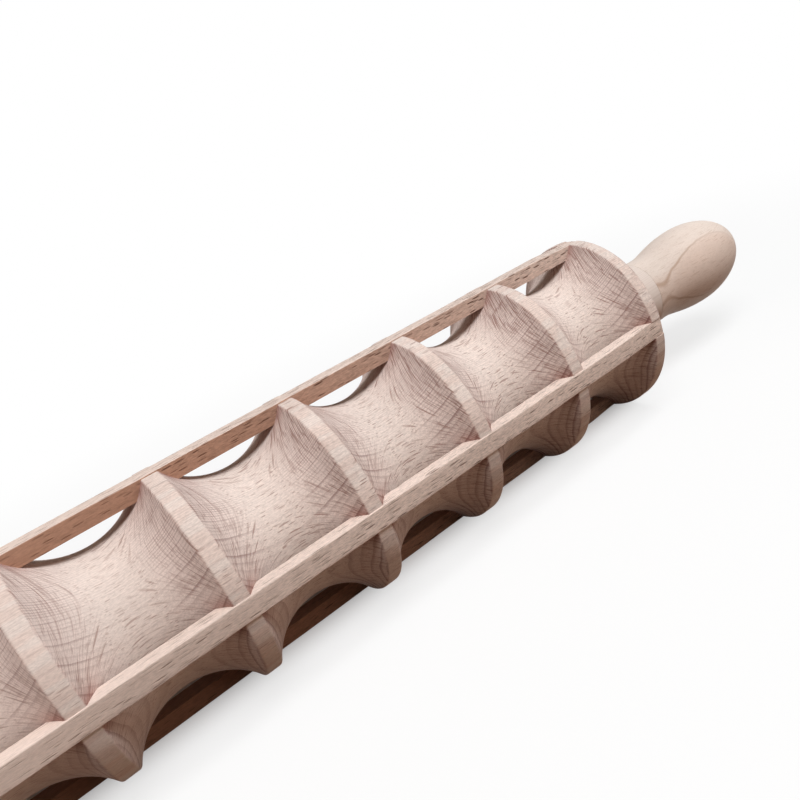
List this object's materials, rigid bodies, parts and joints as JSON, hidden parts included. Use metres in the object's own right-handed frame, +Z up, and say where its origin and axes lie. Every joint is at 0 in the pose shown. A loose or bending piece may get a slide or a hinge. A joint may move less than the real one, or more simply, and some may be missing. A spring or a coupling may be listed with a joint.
{
  "type": "ravioli rolling pin",
  "caption": "Beech ravioli rolling pin: a turned roller with round cutting rims, hollow pockets and inlaid lengthwise cutting strips, spinning on an axle between two egg-shaped handles.",
  "frame": {"origin": "middle of the pin's length, on the surface that it lies on", "axes": "+X along the axle towards the right handle, +Z up through the top cutting strip, -Y towards the front strip"},
  "size_m": [0.425, 0.0566, 0.0566],
  "materials": {
    "roller_beech": "unfinished turned beech, open pores",
    "strip_beech": "unfinished planed beech with ray flecks",
    "handle_beech": "unfinished beech, sanded smooth",
    "axle_steel": "drawn steel rod and plain washers",
    "bush_nylon": "natural white nylon"
  },
  "bodies": {
    "roller": {"roller_core": "roller_beech", "cutting_strip_top": "strip_beech", "cutting_strip_front": "strip_beech", "cutting_strip_bottom": "strip_beech", "cutting_strip_rear": "strip_beech", "bearing_bush_left": "bush_nylon", "bearing_bush_right": "bush_nylon"},
    "handles": {"axle_rod": "axle_steel", "thrust_washer_left": "axle_steel", "thrust_washer_right": "axle_steel", "handle_left": "handle_beech", "handle_right": "handle_beech"}
  },
  "joints": [
    {"name": "roller_spin", "type": "hinge", "parent": "roller", "child": "handles", "pos_m": [0, 0, 0.0283], "axis": [1, 0, 0], "continuous": true}
  ]
}
